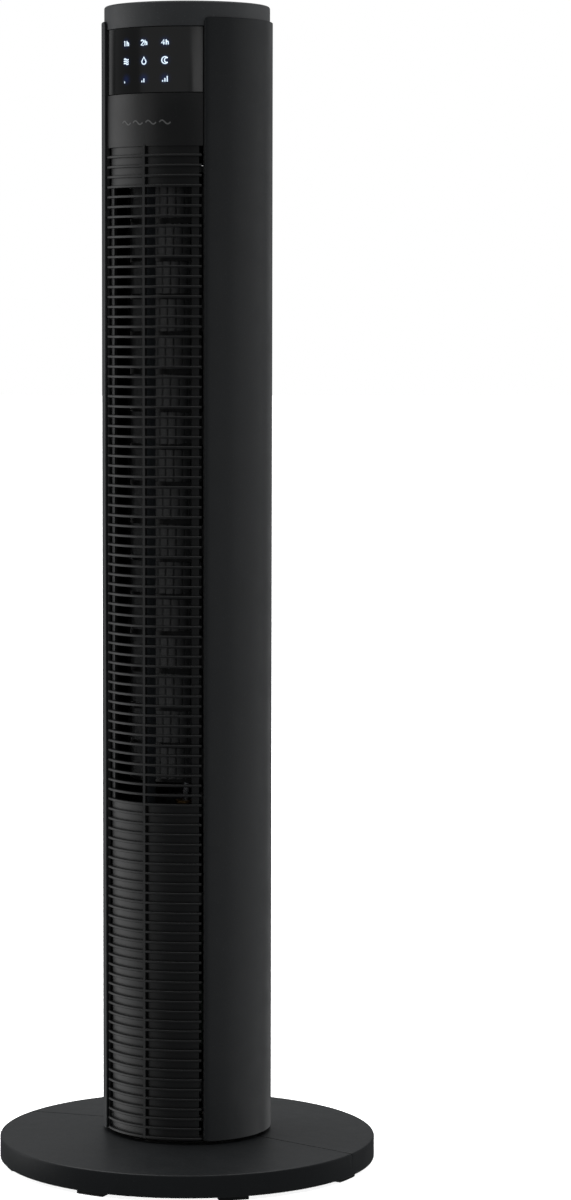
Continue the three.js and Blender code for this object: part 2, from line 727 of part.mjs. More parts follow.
function addMotor() {
  const { ductBlack, zinc, steel, copper, bronze, circuitBoard, glossBlack } = MATERIALS;
  const holes = CASING_SCREWS.slice(0, 2).map(([angle, height]) => radialBar(1.7, 50, 75, angle, height));
  const plate = ring(10.3, DISC_RADIUS, MOTOR_PLATE_LOW, MOTOR_PLATE_HIGH, 24);
  add('motor_bracket', cut(plate, ...holes), ductBlack);
  add('motor_can', motorCan(), zinc);
  add('motor_stator', ring(28, 38, MOTOR.coreLow, MOTOR.coreHigh, 24), steel);
  add('motor_winding', ring(21.8, 27.5, MOTOR.coreLow - 6, MOTOR.coreHigh + 6, 24), copper);
  add('motor_rotor', motorRotor(), steel);
  add('motor_bearing_lower', ring(4.3, 10, MOTOR.low - 1, MOTOR.low + 5, 16), bronze);
  add('motor_bearing_upper', ring(4.3, 10, MOTOR_PLATE_LOW - 2, MOTOR_PLATE_HIGH + 2, 16), bronze);
  add('main_board', block([-30, 24, 90], [30, 25.6, 190]), circuitBoard);
  add('run_capacitor', block([-19, 6, 150], [19, 23.6, 174]), glossBlack);
}

addFoot();
addSwingDrive();
addCasings();
addTop();
addAirPath();
addMotor();

export default fan;
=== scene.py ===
"""Tower fan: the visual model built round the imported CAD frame.

Shapes are made in millimetres, in the frame's own axes (+Z up, the front towards -Y), and turned into
metres when they become pieces. Plan angles are in degrees from the front, positive towards +X.
"""

from math import cos, degrees, pi, radians, sin, sqrt

import bmesh
import bpy
from mathutils import Matrix, Vector


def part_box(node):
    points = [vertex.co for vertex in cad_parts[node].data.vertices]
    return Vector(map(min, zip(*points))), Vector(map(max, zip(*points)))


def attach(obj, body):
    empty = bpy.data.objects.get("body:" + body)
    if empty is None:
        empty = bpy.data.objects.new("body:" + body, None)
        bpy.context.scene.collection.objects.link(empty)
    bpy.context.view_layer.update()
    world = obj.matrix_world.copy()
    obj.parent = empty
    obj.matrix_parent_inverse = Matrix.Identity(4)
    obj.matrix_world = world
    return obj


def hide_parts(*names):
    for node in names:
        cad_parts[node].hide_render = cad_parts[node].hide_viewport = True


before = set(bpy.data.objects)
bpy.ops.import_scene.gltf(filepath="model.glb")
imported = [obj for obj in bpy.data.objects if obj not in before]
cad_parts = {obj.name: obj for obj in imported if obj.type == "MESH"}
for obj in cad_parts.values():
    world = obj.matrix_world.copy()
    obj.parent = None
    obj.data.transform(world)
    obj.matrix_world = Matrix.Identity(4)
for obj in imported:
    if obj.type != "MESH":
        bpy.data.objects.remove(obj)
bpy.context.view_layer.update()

MM = 0.001
GAP = 0.3

# ---------------------------------------------------------------- dimensions taken from the frame


def corners(node):
    """Lowest and highest corner of a CAD node, in millimetres."""
    low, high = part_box(node)
    return low / MM, high / MM


HEIGHT = corners("top_cap")[1].z
CAP_LOW = corners("top_cap")[0].z
BODY_RADIUS = corners("top_cap")[1].x
INNER_RADIUS = BODY_RADIUS - 2.4
PANEL_LOW, PANEL_TOP = (corner.z for corner in corners("side_panel_right"))
PANEL_RADIUS = 70.5
BASE_RADIUS = -corners("base_front")[0].y
BASE_LOW, DOME_TOP = (corner.z for corner in corners("base_front"))
RIM_TOP = 22.1  # the foot's top rises evenly from the rim to DOME_RADIUS
DOME_RADIUS = 72.0
WINDOW_LOW, WINDOW_HIGH = (corner.z for corner in corners("display_window"))
HUB_HIGH = corners("base_hub")[1]
CASING_LOW, CASING_HIGH = (corner.z for corner in corners("front_casing"))
WHEEL_LOW, WHEEL_HIGH = (corner.z for corner in corners("impeller"))

PANEL_FRONT_EDGE = 42.5
PANEL_REAR_EDGE = 128.0
PLATE_RADIUS = 66.0
PLATE_EDGE = 39.3
BROW_EDGE = 41.9
BROW_LOW = 843.8
OPENING_LOW, OPENING_HIGH, OPENING_EDGE = 307.8, 812.0, 34.0
BAR_RADIUS = 69.1
BAR_EDGE = 40.5
BAR_COUNT = 100
BAR_PITCH = 8.132
BAR_HEIGHT = 2.2
TOP_BAR = 836.4
MARK_TURN = 15.6  # degrees between the indicators' columns
MARK_HEIGHTS = (897.5, 912.5, 927.0)
BUTTONS = {
    "power": (0, 0),
    "speed": (-24, -24),
    "mode": (24, -24),
    "timer": (-24, 24),
    "swing": (24, 24),
}
BUTTON_RADIUS = 7.5
PANEL_SURFACE = HEIGHT - 1.2
CASING_SCREWS = ((-150, 300), (150, 300), (-150, 825), (150, 825))

# ---------------------------------------------------------------- shapes: (vertices, faces) in millimetres


def polar(radius, angle, height=0.0):
    return (radius * sin(radians(angle)), -radius * cos(radians(angle)), height)


def together(*shapes):
    """Several closed shapes as one."""
    verts, faces = [], []
    for shape_verts, shape_faces in shapes:
        start = len(verts)
        verts += shape_verts
        faces += [[start + i for i in face] for face in shape_faces]
    return verts, faces


def moved(shape, matrix):
    return [tuple(matrix @ Vector(v)) for v in shape[0]], shape[1]


def turned(outline, steps=128, start=0.0, sweep=360.0):
    """A closed section of (radius, height) points turned about Z from one plan angle on."""
    full = sweep >= 360
    columns = steps if full else steps + 1
    verts, index = [], []
    for i in range(columns):
        row = []
        for k, (radius, height) in enumerate(outline):
            if radius < 1e-6 and i:
                row.append(index[0][k])
            else:
                row.append(len(verts))
                verts.append(polar(radius, start + sweep * i / steps, height))
        index.append(row)
    faces = []
    for i in range(steps):
        a, b = index[i], index[(i + 1) % columns]
        for k in range(len(outline)):
            l = (k + 1) % len(outline)
            face = list(dict.fromkeys((a[k], b[k], b[l], a[l])))
            if len(face) > 2:
                faces.append(face)
    if not full:
        faces += [list(index[0]), list(index[-1])]
    return verts, faces


def prism(points, low, high):
    """A plan outline pulled up from low to high."""
    count = len(points)
    verts = [(x, y, low) for x, y in points] + [(x, y, high) for x, y in points]
    faces = [[i, (i + 1) % count, count + (i + 1) % count, count + i] for i in range(count)]
    return verts, faces + [list(range(count)), list(range(count, 2 * count))]


def plaque(points, near, far):
    """An outline of (x, height) points pushed from one y to another."""
    return moved(prism(points, near, far), Matrix(((1, 0, 0, 0), (0, 0, 1, 0), (0, 1, 0, 0), (0, 0, 0, 1))))


def box(low, high):
    (x0, y0, z0), (x1, y1, z1) = low, high
    return prism([(x0, y0), (x1, y0), (x1, y1), (x0, y1)], z0, z1)


def arc_points(cx, cy, radius, start, end, steps):
    """Points round a circle's centre; 0 points along +X and 90 along +Y."""
    angles = [radians(start + (end - start) * i / steps) for i in range(steps + 1)]
    return [(cx + radius * cos(a), cy + radius * sin(a)) for a in angles]


def rounded_outline(x0, y0, x1, y1, corner, steps=8):
    return (
        arc_points(x1 - corner, y0 + corner, corner, -90, 0, steps)
        + arc_points(x1 - corner, y1 - corner, corner, 0, 90, steps)
        + arc_points(x0 + corner, y1 - corner, corner, 90, 180, steps)
        + arc_points(x0 + corner, y0 + corner, corner, 180, 270, steps)
    )


def curved_panel(inner, outer, start, end, low, high, corner, edge, steps, back=0.2):
    """A panel bent round Z with rounded corners and a rounded rim in front."""
    reach = radians(end - start) * outer
    profile = [
        (edge * (1 - sin(radians(t))), outer - edge * (1 - cos(radians(t)))) for t in (0, 30, 60, 90)
    ] + [(0.0, inner + back), (back, inner)]
    verts, rings = [], []
    for inset, radius in profile:
        sides = [corner + (reach - 2 * corner) * i / steps for i in range(1, steps)]
        r = corner - inset
        points = arc_points(corner, low + corner, r, 180, 270, 6)
        points += [(s, low + inset) for s in sides]
        points += arc_points(reach - corner, low + corner, r, 270, 360, 6)
        points += arc_points(reach - corner, high - corner, r, 0, 90, 6)
        points += [(s, high - inset) for s in reversed(sides)]
        points += arc_points(corner, high - corner, r, 90, 180, 6)
        rings.append([len(verts) + i for i in range(len(points))])
        verts += [polar(radius, start + degrees(s / outer), z) for s, z in points]
    count = len(rings[0])
    half = count // 2
    faces = []
    for a, b in zip(rings, rings[1:]):
        faces += [[a[i], a[(i + 1) % count], b[(i + 1) % count], b[i]] for i in range(count)]
    for ring in (rings[0], rings[-1]):
        faces += [[ring[i], ring[i + 1], ring[count - 2 - i], ring[count - 1 - i]] for i in range(half - 1)]
    return verts, faces


def rod(radius, start, end, steps=16):
    """A round bar between two points."""
    along = Vector(end) - Vector(start)
    shape = turned([(0, 0), (radius, 0), (radius, along.length), (0, along.length)], steps)
    turn = along.to_track_quat("Z", "Y").to_matrix().to_4x4()
    return moved(shape, Matrix.Translation(Vector(start)) @ turn)


def as_mesh(name, shape, scale=1.0):
    verts, faces = shape
    mesh = bpy.data.meshes.new(name)
    mesh.from_pydata([Vector(v) * scale for v in verts], [], faces)
    tidy = bmesh.new()
    tidy.from_mesh(mesh)
    bmesh.ops.recalc_face_normals(tidy, faces=tidy.faces)
    tidy.to_mesh(mesh)
    tidy.free()
    return mesh


def applied(obj):
    """The object's mesh with its modifiers applied."""
    depsgraph = bpy.context.evaluated_depsgraph_get()
    return bpy.data.meshes.new_from_object(obj.evaluated_get(depsgraph))


def boolean(operation, first, *others):
    """UNION, DIFFERENCE or INTERSECT of shapes, in millimetres."""
    objects = []
    for shape in (first, together(*others)):
        obj = bpy.data.objects.new("scratch", as_mesh("scratch", shape))
        bpy.context.scene.collection.objects.link(obj)
        objects.append(obj)
    modifier = objects[0].modifiers.new("boolean", "BOOLEAN")
    modifier.operation, modifier.solver, modifier.object = operation, "MANIFOLD", objects[1]
    mesh = applied(objects[0])
    shape = [tuple(v.co) for v in mesh.vertices], [list(p.vertices) for p in mesh.polygons]
    for obj in objects:
        bpy.data.objects.remove(obj)
    return shape


def union(*shapes):
    return boolean("UNION", *shapes)


def cut(*shapes):
    return boolean("DIFFERENCE", *shapes)


def common(*shapes):
    return boolean("INTERSECT", *shapes)


def piece(name, shape, body, material, replaces=(), bevel=None, sharp=35.0):
    """A finished piece from a shape: bevel is (width in mm, segments, angle in degrees)."""
    obj = bpy.data.objects.new(name, as_mesh(name, shape, MM))
    bpy.context.scene.collection.objects.link(obj)
    if bevel:
        width, segments, angle = bevel
        modifier = obj.modifiers.new("bevel", "BEVEL")
        modifier.width, modifier.segments = width * MM, segments
        modifier.limit_method, modifier.angle_limit = "ANGLE", radians(angle)
        modifier.use_clamp_overlap = True
        old = obj.data
        obj.data = applied(obj)
        obj.modifiers.clear()
        bpy.data.meshes.remove(old)
    obj.data.name = name
    obj.data.polygons.foreach_set("use_smooth", [True] * len(obj.data.polygons))
    obj.data.set_sharp_from_angle(angle=radians(sharp))
    obj.data.materials.clear()
    obj.data.materials.append(material)
    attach(obj, body)
    if replaces:
        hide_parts(*([replaces] if isinstance(replaces, str) else replaces))
    return obj


# ---------------------------------------------------------------- materials


class Nodes:
    """A material's node tree, with short calls for the nodes used here."""

    def __init__(self, name):
        self.material = bpy.data.materials.new(name)
        self.material.use_nodes = True
        self.tree = self.material.node_tree
        self.shader = self.tree.nodes["Principled BSDF"]
        self.place = self.make("ShaderNodeTexCoord").outputs["Object"]

    def make(self, kind, **settings):
        made = self.tree.nodes.new(kind)
        for key, value in settings.items():
            setattr(made, key, value)
        return made

    def link(self, source, target):
        self.tree.links.new(source, target)

    def set(self, **values):
        for key, value in values.items():
            self.shader.inputs[key.replace("_", " ")].default_value = value

    def stretched(self, scale):
        mapping = self.make("ShaderNodeMapping")
        mapping.inputs["Scale"].default_value = scale
        self.link(self.place, mapping.inputs["Vector"])
        return mapping.outputs["Vector"]

    def noise(self, scale, detail=3.0, roughness=0.55, vector=None):
        noise = self.make("ShaderNodeTexNoise")
        noise.inputs["Scale"].default_value = scale
        noise.inputs["Detail"].default_value = detail
        noise.inputs["Roughness"].default_value = roughness
        self.link(vector or self.place, noise.inputs["Vector"])
        return noise.outputs["Fac"]

    def cells(self, scale, feature="F1", vector=None, output="Distance"):
        cells = self.make("ShaderNodeTexVoronoi", feature=feature)
        cells.inputs["Scale"].default_value = scale
        self.link(vector or self.place, cells.inputs["Vector"])
        return cells.outputs[output]

    def bands(self, scale, direction, distortion=0.0):
        wave = self.make("ShaderNodeTexWave", bands_direction=direction)
        wave.inputs["Scale"].default_value = scale
        wave.inputs["Distortion"].default_value = distortion
        self.link(self.place, wave.inputs["Vector"])
        return wave.outputs["Fac"]

    def spread(self, value, low, high, start=0.3, end=0.7):
        """Maps a value from start..end to low..high, held at both ends."""
        spread = self.make("ShaderNodeMapRange")
        for key, number in zip(("From Min", "From Max", "To Min", "To Max"), (start, end, low, high)):
            spread.inputs[key].default_value = number
        self.link(value, spread.inputs["Value"])
        return spread.outputs["Result"]

    def mix(self, share, first, second):
        mix = self.make("ShaderNodeMix", data_type="RGBA")
        self.link(share, mix.inputs[0])
        for socket, colour in ((mix.inputs[6], first), (mix.inputs[7], second)):
            if isinstance(colour, bpy.types.NodeSocket):
                self.link(colour, socket)
            else:
                socket.default_value = (*colour, 1.0)
        return mix.outputs[2]

    def colour(self, value):
        self.link(value, self.shader.inputs["Base Color"])

    def rough(self, value):
        self.link(value, self.shader.inputs["Roughness"])

    def bump(self, height, distance, strength=1.0):
        """Adds a bump of the given depth in millimetres on top of the ones already there."""
        bump = self.make("ShaderNodeBump")
        bump.inputs["Distance"].default_value = distance * MM
        bump.inputs["Strength"].default_value = strength
        self.link(height, bump.inputs["Height"])
        earlier = self.shader.inputs["Normal"]
        if earlier.is_linked:
            self.link(earlier.links[0].from_socket, bump.inputs["Normal"])
        self.link(bump.outputs["Normal"], earlier)

    def calc(self, operation, first, second=0.0):
        made = self.make("ShaderNodeMath", operation=operation)
        for socket, value in zip(made.inputs, (first, second)):
            if isinstance(value, bpy.types.NodeSocket):
                self.link(value, socket)
            else:
                socket.default_value = value
        return made.outputs[0]

    def from_nearest(self, value, middle, step):
        """How far a value is from the nearest of three marks: the middle one, or one step to a side of it."""
        steps = self.calc("DIVIDE", self.calc("SUBTRACT", value, middle), step)
        nearest = self.calc("MAXIMUM", self.calc("MINIMUM", self.calc("ROUND", steps), 1.0), -1.0)
        return self.calc("MULTIPLY", self.calc("SUBTRACT", steps, nearest), step)

    def facing_up(self):
        """0 on walls and undersides, up to 1 on surfaces that face straight up."""
        parts = self.make("ShaderNodeSeparateXYZ")
        self.link(self.make("ShaderNodeNewGeometry").outputs["Normal"], parts.inputs[0])
        return parts.outputs["Z"]


def grey(level, tint=0.0):
    """A linear grey; tint moves it towards blue."""
    return (level * (1 - tint), level, level * (1 + tint))


def moulded(name, level, roughness, grain=0.012, grain_scale=2600, mottle=0.16, dust=0.0, tint=0.03,
            uneven=0.05):
    """Injection-moulded plastic: fine spark-eroded grain, flow mottling, handling marks, settled dust."""
    n = Nodes(name)
    n.set(Specular_IOR_Level=0.5)
    broad = n.noise(9, 4)
    speck = n.noise(900, 2)
    base = n.mix(n.spread(broad, 0, 1), grey(level * (1 - mottle), tint), grey(level * (1 + mottle), tint))
    base = n.mix(n.spread(speck, 0, 1, 0.62, 0.75), base, grey(level * 1.9, tint))
    if dust:
        amount = n.make("ShaderNodeMath", operation="MULTIPLY")
        n.link(n.spread(n.facing_up(), 0, dust, 0.55, 0.98), amount.inputs[0])
        n.link(n.spread(n.noise(420, 5, 0.7), 0, 1, 0.45, 0.8), amount.inputs[1])
        base = n.mix(amount.outputs[0], base, (0.09, 0.088, 0.084))
    n.colour(base)
    n.rough(n.spread(n.noise(38, 5, 0.6), roughness - uneven, roughness + uneven))
    n.bump(n.cells(grain_scale), grain)
    n.bump(n.noise(60, 2), 0.02)
    return n.material


def polished(name, level, roughness):
    """Polished black plastic with faint wiping marks."""
    n = Nodes(name)
    n.set(Specular_IOR_Level=0.5)
    n.colour(n.mix(n.spread(n.noise(14, 3), 0, 1), grey(level * 0.8, 0.1), grey(level * 1.25, 0.1)))
    wiped = n.noise(1, 4, 0.6, n.stretched((40, 40, 9)))
    n.rough(n.spread(wiped, roughness * 0.6, roughness * 1.9))
    n.bump(n.noise(35, 2), 0.004)
    add_glow(n)
    return n.material


def add_glow(n):
    """Faint blue light that spreads in the window round each indicator."""
    parts = n.make("ShaderNodeSeparateXYZ")
    n.link(n.place, parts.inputs[0])
    turn = n.calc("ARCTAN2", parts.outputs["X"], n.calc("MULTIPLY", parts.outputs["Y"], -1.0))
    around = n.calc("MULTIPLY", turn, BODY_RADIUS * MM)
    across = n.from_nearest(around, 0.0, radians(MARK_TURN) * BODY_RADIUS * MM)
    up = n.from_nearest(parts.outputs["Z"], MARK_HEIGHTS[1] * MM, (MARK_HEIGHTS[2] - MARK_HEIGHTS[1]) * MM)
    away = n.calc("SQRT", n.calc("ADD", n.calc("MULTIPLY", across, across), n.calc("MULTIPLY", up, up)))
    near = n.spread(away, 1.0, 0.0, 1.5 * MM, 6.5 * MM)
    shade = n.mix(n.calc("MULTIPLY", near, near), (0.0, 0.0, 0.0), (0.0, 0.005, 0.035))
    n.link(shade, n.shader.inputs["Emission Color"])
    n.set(Emission_Strength=1.0)


def soft_rubber(name, level):
    n = Nodes(name)
    n.set(Specular_IOR_Level=0.35)
    n.colour(n.mix(n.spread(n.noise(220, 4), 0, 1), grey(level * 0.7), grey(level * 1.6)))
    n.rough(n.spread(n.noise(90, 3), 0.72, 0.92))
    n.bump(n.noise(1400, 4, 0.7), 0.05)
    return n.material


def bare_metal(name, colour, roughness, stretch=(1, 1, 1), scale=500, spangle=0.0, bump=0.01):
    """Metal with drawn or rolled streaks, or with zinc spangle."""
    n = Nodes(name)
    n.set(Metallic=1.0)
    streak = n.noise(scale, 4, 0.6, n.stretched(stretch))
    shade = n.mix(n.spread(streak, 0, 1), [c * 0.72 for c in colour], [min(1, c * 1.15) for c in colour])
    if spangle:
        plates = n.cells(240, output="Color")
        shade = n.mix(n.spread(plates, 0, spangle, 0.2, 0.8), shade, [c * 0.5 for c in colour])
    n.colour(shade)
    n.rough(n.spread(n.noise(120, 3), roughness - 0.08, roughness + 0.1))
    n.bump(streak, bump)
    return n.material


def slide_plastic(name):
    """Natural acetal: off-white, slightly waxy."""
    n = Nodes(name)
    n.set(Specular_IOR_Level=0.5)
    n.colour(n.mix(n.spread(n.noise(60, 4), 0, 1), (0.58, 0.56, 0.5), (0.72, 0.7, 0.64)))
    n.rough(n.spread(n.noise(300, 3), 0.3, 0.5))
    n.bump(n.noise(800, 3), 0.01)
    return n.material


def circuit_board(name):
    """Green board with copper tracks under the lacquer and tinned pads."""
    n = Nodes(name)
    track = n.make("ShaderNodeTexBrick", offset=0.4, squash=1.0)
    track.inputs["Scale"].default_value = 120
    track.inputs["Mortar Size"].default_value = 0.06
    track.inputs["Brick Width"].default_value = 1.7
    track.inputs["Row Height"].default_value = 0.5
    n.link(n.place, track.inputs["Vector"])
    pads = n.spread(n.cells(210), 1, 0, 0.14, 0.2)
    green = n.mix(n.spread(n.noise(40, 3), 0, 1), (0.008, 0.05, 0.018), (0.012, 0.075, 0.026))
    lines = n.mix(track.outputs["Fac"], green, (0.03, 0.14, 0.05))
    n.colour(n.mix(pads, lines, (0.42, 0.42, 0.4)))
    n.rough(n.spread(n.noise(260, 3), 0.28, 0.45))
    n.bump(track.outputs["Fac"], 0.05)
    return n.material


def copper_winding(name):
    """Lacquered copper wire, laid in turns; its colour is kept far darker than copper as painted shade for
    the dim inside of the column.
    """
    n = Nodes(name)
    n.set(Metallic=1.0)
    wires = n.bands(900, "Z", 1.5)
    n.colour(n.mix(wires, (0.08, 0.022, 0.01), (0.3, 0.12, 0.06)))
    n.rough(n.spread(n.noise(300, 3), 0.25, 0.42))
    n.bump(wires, 0.25)
    return n.material


def laminated_steel(name):
    """A stack of stamped electrical sheets."""
    n = Nodes(name)
    n.set(Metallic=1.0)
    sheets = n.bands(320, "Z")
    n.colour(n.mix(sheets, (0.12, 0.12, 0.125), (0.36, 0.36, 0.37)))
    n.rough(n.spread(n.noise(200, 3), 0.35, 0.5))
    n.bump(sheets, 0.1)
    return n.material


def printed(name, colour, roughness=0.6):
    """Pad-printed ink with slightly uneven cover."""
    n = Nodes(name)
    n.colour(n.mix(n.spread(n.noise(1200, 3), 0, 1), [c * 0.82 for c in colour], colour))
    n.rough(n.spread(n.noise(600, 2), roughness - 0.08, roughness + 0.08))
    n.bump(n.noise(1800, 2), 0.004)
    return n.material


def lit(name, colour, strength):
    """Light through a diffusing window film, a little uneven in strength; the indicators' cores are given
    more strength than their halos.
    """
    n = Nodes(name)
    n.colour(n.mix(n.spread(n.noise(700, 2), 0, 1), (0.5, 0.5, 0.5), (0.6, 0.6, 0.6)))
    n.rough(n.spread(n.noise(500, 2), 0.3, 0.45))
    n.link(n.mix(n.spread(n.noise(600, 2), 0, 1), [c * 0.85 for c in colour], colour),
           n.shader.inputs["Emission Color"])
    n.set(Emission_Strength=strength)
    return n.material


SATIN = moulded("satin_black", 0.024, 0.42, dust=0.5)
PANEL = moulded("panel_black", 0.018, 0.36, grain=0.006, grain_scale=3200, mottle=0.1, tint=0.16)
BARS = moulded("bar_black", 0.014, 0.36, grain=0.006)
CAP = moulded("cap_black", 0.055, 0.48, grain=0.01, dust=0.4, tint=0.06)
BASE = moulded("base_black", 0.042, 0.4, grain=0.012, dust=0.6, tint=0.08)
BUTTON = moulded("button_black", 0.012, 0.35, grain=0.006, dust=0.3)
DUCT = moulded("duct_black", 0.006, 0.6, grain=0.02, dust=0.8)
WHEEL = moulded("wheel_black", 0.05, 0.5, grain=0.008, dust=1.0)
# The wheel's rim bands use the wheel plastic made much darker: painted shade for the dark band at each disc.
RING = moulded("ring_black_painted_shade", 0.008, 0.4, grain=0.004, dust=0.2)
# The deep fin uses the bar plastic made lighter and bluer: painted light on its side face.
FIN = moulded("fin_black_painted_light", 0.03, 0.4, grain=0.006, tint=0.12)
GLOSS = polished("gloss_black", 0.003, 0.13)
RUBBER = soft_rubber("rubber", 0.012)
ZINC = bare_metal("zinc", (0.5, 0.51, 0.52), 0.4, spangle=0.5)
STEEL = bare_metal("steel", (0.55, 0.56, 0.58), 0.3, stretch=(1, 1, 12))
BRONZE = bare_metal("sintered_bronze", (0.4, 0.25, 0.11), 0.45, scale=2200, bump=0.04)
SLIDE = slide_plastic("slide_plastic")
BOARD = circuit_board("circuit_board")
COPPER = copper_winding("copper")
LAMINATED = laminated_steel("laminated_steel")
INK = printed("grey_ink", (0.2, 0.2, 0.2))
BUTTON_INK = printed("white_ink", (0.55, 0.55, 0.55))
LIT_CORE = lit("indicator_light", (0.75, 0.92, 1.0), 1.5)
LIT_HALO = lit("indicator_halo", (0.03, 0.16, 0.5), 0.35)

# ---------------------------------------------------------------- the foot

NECK_RADIUS = 54.0
HUB_HIGH_NECK = corners("thrust_ring")[0].z - GAP
SEAM_GAP = 0.06
GROOVE_WIDTH, GROOVE_DEPTH = 1.1, 1.0  # the line that marks the seam on top
BASE_PLATE = 3.6
SCREW_ANGLES = (-40, 40, 140, -140)


def seam_side(side):
    """Everything in front of (-1) or behind (1) the seam across the foot's middle."""
    reach = BASE_RADIUS + 10
    near, far = sorted((side * SEAM_GAP / 2, side * reach))
    return box((-reach, near, -5), (reach, far, 2 * DOME_TOP))


def base_disc():
    slope = (DOME_TOP - RIM_TOP) / (BASE_RADIUS - 1.4 - DOME_RADIUS)
    under = arc_points(BASE_RADIUS - 0.8, BASE_LOW + 0.8, 0.8, -90, 0, 3)
    rim = arc_points(BASE_RADIUS - 1.4, RIM_TOP - 1.4, 1.4, 0, 84, 6)
    inside = [(BASE_RADIUS - 3, RIM_TOP + 1.6 * slope), (DOME_RADIUS + 2, DOME_TOP - 2 * slope),
              (DOME_RADIUS, DOME_TOP), (DOME_RADIUS - 2, DOME_TOP)]
    mouth = NECK_RADIUS + GAP
    lip = arc_points(mouth + 0.8, DOME_TOP - 0.8, 0.8, 90, 180, 3)
    low = DOME_TOP - BASE_PLATE
    outline = [*under, *rim, *inside, *lip, (mouth, low), (DOME_RADIUS, low), (143, RIM_TOP - BASE_PLATE),
               (143, BASE_LOW)]
    holes = [rod(1.9, polar(60, a, low - 1), polar(60, a, DOME_TOP - 0.9), 16) for a in SCREW_ANGLES]
    return cut(turned(outline, 192), *holes)


def build_foot():
    disc = base_disc()
    gland_low, gland_high = corners("cable_gland")
    channel = box((gland_low.x - GAP, 138, -1), (gland_high.x + GAP, BASE_RADIUS + 5, gland_high.z + GAP))
    seam_bevel = (0.15, 2, 50)
    lowered = moved(disc, Matrix.Translation((0, 0, -GROOVE_DEPTH)))
    reach = BASE_RADIUS + 10
    groove = cut(box((-reach, -GROOVE_WIDTH / 2, -5), (reach, GROOVE_WIDTH / 2, 2 * DOME_TOP)), lowered)
    front = cut(common(disc, seam_side(-1)), groove)
    piece("foot_front", front, "base", BASE, "base_front", seam_bevel)
    rear = cut(common(disc, seam_side(1)), channel, groove)
    piece("foot_rear", rear, "base", BASE, "base_rear", seam_bevel)
    for i in range(8):
        node = f"rubber_foot_{i + 1}"
        top = corners(node)[1].z
        edge = 0.6
        outline = [(144.5 + edge, 0), (154 - edge, 0), (154, edge), (154, top), (144.5, top), (144.5, edge)]
        pad = turned(outline, 10, i * 45 - 4.6, 9.2)
        piece(f"pad_{i + 1}", pad, "base", RUBBER, node, (0.3, 2, 40))
    body = cut(
        box(gland_low, gland_high),
        rod(3.6, (0, 120, 8.4), (0, 180, 8.4), 32),
    )
    piece("cord_gland", body, "base", RUBBER, "cable_gland", (0.5, 2, 40))
    flange = DOME_TOP - BASE_PLATE - GAP
    hub = [(8, 6), (14, 6), (14, flange - 3.6), (66, flange - 3.6), (66, flange), (NECK_RADIUS, flange)]
    hub += [(NECK_RADIUS, HUB_HIGH_NECK), (12, HUB_HIGH_NECK), (12, HUB_HIGH.z), (8, HUB_HIGH.z)]
    holes = [rod(1.9, polar(60, a, 8), polar(60, a, 25), 16) for a in SCREW_ANGLES]
    piece("foot_hub", cut(turned(hub, 128), *holes), "base", DUCT, "base_hub", (0.4, 2, 40))
    for i, angle in enumerate(SCREW_ANGLES):
        head = flange - 3.6 - GAP
        screw = turned(
            [(0, head - 2.2), (2.6, head - 2.2), (3.2, head - 1.8), (3.4, head - 1), (3.4, head), (1.5, head),
             (1.5, DOME_TOP - 1.8), (1.1, DOME_TOP - 1.4), (0, DOME_TOP - 1.4)], 32)
        cross = union(box((-2, -0.35, head - 3), (2, 0.35, head - 1.2)),
                      box((-0.35, -2, head - 3), (0.35, 2, head - 1.2)))
        screw = moved(cut(screw, cross), Matrix.Translation(polar(60, angle)))
        piece(f"foot_screw_{i + 1}", screw, "base", ZINC, f"base_screw_{i + 1}", sharp=30)


# ---------------------------------------------------------------- the column's skin


def bar_shape(height):
    """One level bar with rounded front edges."""
    half, nose = BAR_HEIGHT / 2, 0.7
    outline = [(PLATE_RADIUS - 0.5, height - half)]
    outline += arc_points(BAR_RADIUS - nose, height - half + nose, nose, -90, 0, 4)
    outline += arc_points(BAR_RADIUS - nose, height + half - nose, nose, 0, 90, 4)
    outline.append((PLATE_RADIUS - 0.5, height + half))
    return turned(outline, 36, -BAR_EDGE, 2 * BAR_EDGE)


def build_front():
    lowest = TOP_BAR - (BAR_COUNT - 1) * BAR_PITCH
    plate = curved_panel(PLATE_RADIUS - 2.4, PLATE_RADIUS, -PLATE_EDGE, PLATE_EDGE, lowest - 0.8,
                         BROW_LOW + 1, 0.6, 0.3, 40)
    outlet = turned([(50, OPENING_LOW), (80, OPENING_LOW), (80, OPENING_HIGH), (50, OPENING_HIGH)], 36,
                    -OPENING_EDGE, 2 * OPENING_EDGE)
    brow = curved_panel(PLATE_RADIUS - 2.4, BODY_RADIUS, -BROW_EDGE, BROW_EDGE, BROW_LOW, WINDOW_LOW - GAP,
                        0.8, 0.5, 40)
    fin = box((-1.1, -BAR_RADIUS, lowest - BAR_HEIGHT / 2), (1.1, -PLATE_RADIUS + 0.5, BROW_LOW + 1))
    deep_fin = box((-1.1, -PLATE_RADIUS + 0.9, OPENING_LOW - 3), (1.1, -52, OPENING_HIGH + 3))
    bars = [bar_shape(TOP_BAR - i * BAR_PITCH) for i in range(BAR_COUNT)]
    body = union(cut(plate, outlet), brow)
    body = union(body, fin)
    body = union(body, *bars)
    piece("front_moulding", body, "column", BARS, "front_grille", sharp=28)
    piece("outlet_fin", deep_fin, "column", FIN, bevel=(0.4, 2, 50))


